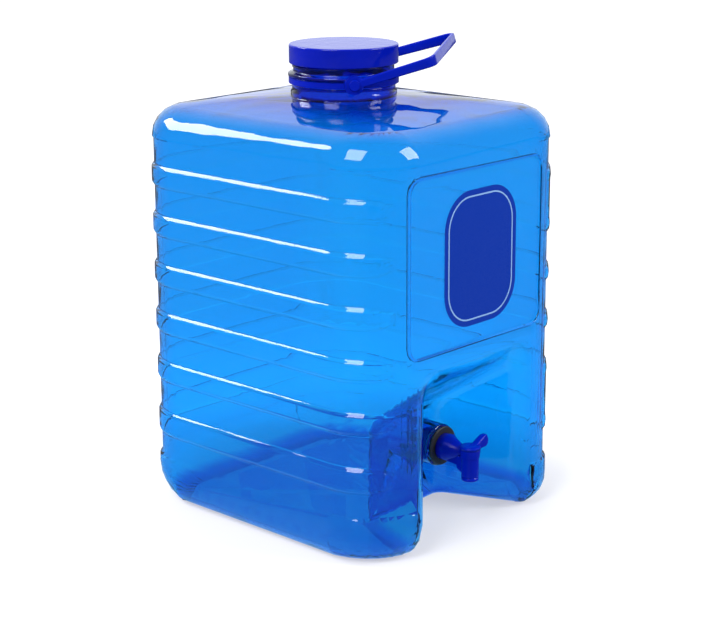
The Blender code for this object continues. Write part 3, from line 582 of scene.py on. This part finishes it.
def neck_thread(material):
    """One rounded ridge that winds up the neck."""
    reach = THREAD_CREST - THREAD_ROOT
    upright = Matrix.Rotation(math.pi / 2, 3, "X")
    mesh = bmesh.new()
    profile = bmesh.ops.create_circle(mesh, segments=THREAD_SEGMENTS, radius=1.0)["verts"]
    bmesh.ops.scale(mesh, vec=(reach, THREAD_HEIGHT / 2, 1.0), verts=profile)
    bmesh.ops.rotate(mesh, verts=mesh.verts, cent=(0, 0, 0), matrix=upright)
    bmesh.ops.translate(mesh, vec=(THREAD_ROOT, NECK_Y, THREAD_LOW), verts=mesh.verts)
    bmesh.ops.spin(mesh, geom=mesh.edges[:], cent=(0, NECK_Y, 0), axis=(0, 0, 1),
                   dvec=(0, 0, THREAD_PITCH / THREAD_STEPS), angle=2 * math.pi * THREAD_TURNS,
                   steps=int(THREAD_STEPS * THREAD_TURNS))
    bmesh.ops.holes_fill(mesh, edges=[edge for edge in mesh.edges if edge.is_boundary])
    bmesh.ops.recalc_face_normals(mesh, faces=mesh.faces)
    finished_piece("neck_thread", mesh, "tank", material)


def bare_rays(tree):
    """1 for rays from the camera, straight or through the clear plastic, and 0 for others."""
    path = tree.nodes.new("ShaderNodeLightPath")
    either = tree.nodes.new("ShaderNodeMath")
    either.operation = "MAXIMUM"
    tree.links.new(path.outputs["Is Camera Ray"], either.inputs[0])
    tree.links.new(path.outputs["Is Transmission Ray"], either.inputs[1])
    return either.outputs["Value"]


def pale_floor():
    """The floor's material, by the distance from its middle.

    For bare rays it is pale and glows white, less so near the object, where its shadow falls.
    For other rays it is dark, with a painted pool of blue light at the object's foot: a glow
    that stands in for light coming through the tank.
    """
    material, tree, shader = new_material("pale_floor")
    shader.inputs["Roughness"].default_value = FLOOR_ROUGHNESS
    shader.inputs["Specular IOR Level"].default_value = FLOOR_SHINE
    length = tree.nodes.new("ShaderNodeVectorMath")
    length.operation = "LENGTH"
    tree.links.new(coordinates(tree), length.inputs[0])
    distance = length.outputs["Value"]
    bare = bare_rays(tree)
    pale = tree.nodes.new("ShaderNodeMath")
    pale.operation = "MULTIPLY"
    tree.links.new(map_range(tree, distance, FLOOR_FAR, FLOOR_NEAR), pale.inputs[0])
    tree.links.new(bare, pale.inputs[1])
    colour = blend(tree, pale.outputs["Value"], FLOOR_DARK, FLOOR_PALE)
    tree.links.new(colour, shader.inputs["Base Color"])
    # Painted pool of light: a blue glow near the foot, seen in reflections and bounced light,
    # lit by no lamp
    painted_pool = map_range(tree, distance, PAINTED_POOL_FAR, PAINTED_POOL_NEAR, high=PAINTED_POOL_GLOW)
    spread = map_range(tree, distance, SHADOW_NEAR, SHADOW_FAR, low=FLOOR_GLOW, smooth=True)
    glow = tree.nodes.new("ShaderNodeMix")
    glow.data_type = "FLOAT"
    tree.links.new(bare, glow.inputs["Factor"])
    tree.links.new(painted_pool, glow.inputs["A"])
    tree.links.new(spread, glow.inputs["B"])
    tree.links.new(glow.outputs["Result"], shader.inputs["Emission Strength"])
    tree.links.new(blend(tree, bare, PAINTED_POOL_TINT, WHITE), shader.inputs["Emission Color"])
    return material


def white_stage():
    """A floor that keeps the object's shadow near it and is plain white further out."""
    mesh = bmesh.new()
    bmesh.ops.create_grid(mesh, x_segments=1, y_segments=1, size=FLOOR_HALF_SIZE)
    data = bpy.data.meshes.new("floor")
    mesh.to_mesh(data)
    mesh.free()
    floor = bpy.data.objects.new("floor", data)
    scene.collection.objects.link(floor)
    data.materials.append(pale_floor())


def studio_world():
    """White for bare rays; for others a dim room with a bright sweep behind the object."""
    world = bpy.data.worlds.new("studio")
    scene.world = world
    world.use_nodes = True
    tree = world.node_tree
    white = tree.nodes["Background"]
    white.inputs["Color"].default_value = (*WHITE, 1.0)
    white.inputs["Strength"].default_value = 1.0
    way = tree.nodes.new("ShaderNodeTexCoord")
    towards = tree.nodes.new("ShaderNodeVectorMath")
    towards.operation = "DOT_PRODUCT"
    towards.inputs[1].default_value = direction(AZIMUTH + 180, SWEEP_RISE)
    tree.links.new(way.outputs["Generated"], towards.inputs[0])
    strength = map_range(tree, towards.outputs["Value"], SWEEP_EDGE, 1.0, ROOM_LIGHT,
                         SWEEP_LIGHT, smooth=True)
    room = tree.nodes.new("ShaderNodeBackground")
    room.inputs["Color"].default_value = ROOM_TINT
    tree.links.new(strength, room.inputs["Strength"])
    mix = tree.nodes.new("ShaderNodeMixShader")
    tree.links.new(bare_rays(tree), mix.inputs["Fac"])
    tree.links.new(room.outputs["Background"], mix.inputs[1])
    tree.links.new(white.outputs["Background"], mix.inputs[2])
    tree.links.new(mix.outputs["Shader"], tree.nodes["World Output"].inputs["Surface"])


def softbox(name, azimuth, rise, distance, size, brightness):
    """A rectangular lamp that faces the object, as bright as it looks in a mirror."""
    lamp = bpy.data.lights.new(name, "AREA")
    lamp.shape = "RECTANGLE"
    lamp.size = size[0]
    lamp.size_y = size[1]
    lamp.energy = brightness * LAMP_POWER * size[0] * size[1]
    item = bpy.data.objects.new(name, lamp)
    way = direction(azimuth, rise)
    item.location = LAMP_AIM + way * distance
    item.rotation_euler = (-way).to_track_quat("-Z", "Y").to_euler()
    item.visible_camera = False
    item.visible_transmission = False
    scene.collection.objects.link(item)


make_camera()
white_stage()
studio_world()
for box, values in SOFTBOXES.items():
    softbox(box, *values)
scene.view_settings.view_transform = "Standard"

CLEAR_BLUE = clear_blue()
tank_moulding(CLEAR_BLUE)
neck_thread(CLEAR_BLUE)
badge_piece("badge_field", 0.0, 0.0, FIELD_LIFT, opaque("blue_ink"))
badge_piece("badge_line", BADGE_LINE_INSET, BADGE_LINE, LINE_LIFT, opaque("pale_ink"))

GLOSS_BLUE = opaque("royal_blue_gloss")
TAP_BLUE = opaque("royal_blue_tap")
HANDLE_BLUE = opaque("royal_blue_handle")
smooth_copy("screw_cap", "cap", GLOSS_BLUE)
smooth_copy("handle_collar", "collar", HANDLE_BLUE)
smooth_copy("bail_handle", "bail", HANDLE_BLUE)
smooth_copy("tap_body", "tank", TAP_BLUE)
smooth_copy("tap_spout", "tank", TAP_BLUE)
smooth_copy("tap_lever", "tap_handle", TAP_BLUE)
dress(HANDLE_BLUE, "bail_pin_near", "bail_pin_far")
dress(TAP_BLUE, "tap_plug", "tap_lock_nut")
dress(opaque("black_rubber"), "tap_outer_washer", "plug_seal_upper", "plug_seal_lower")
dress(opaque("pale_foam"), "cap_liner", "tap_inner_washer")
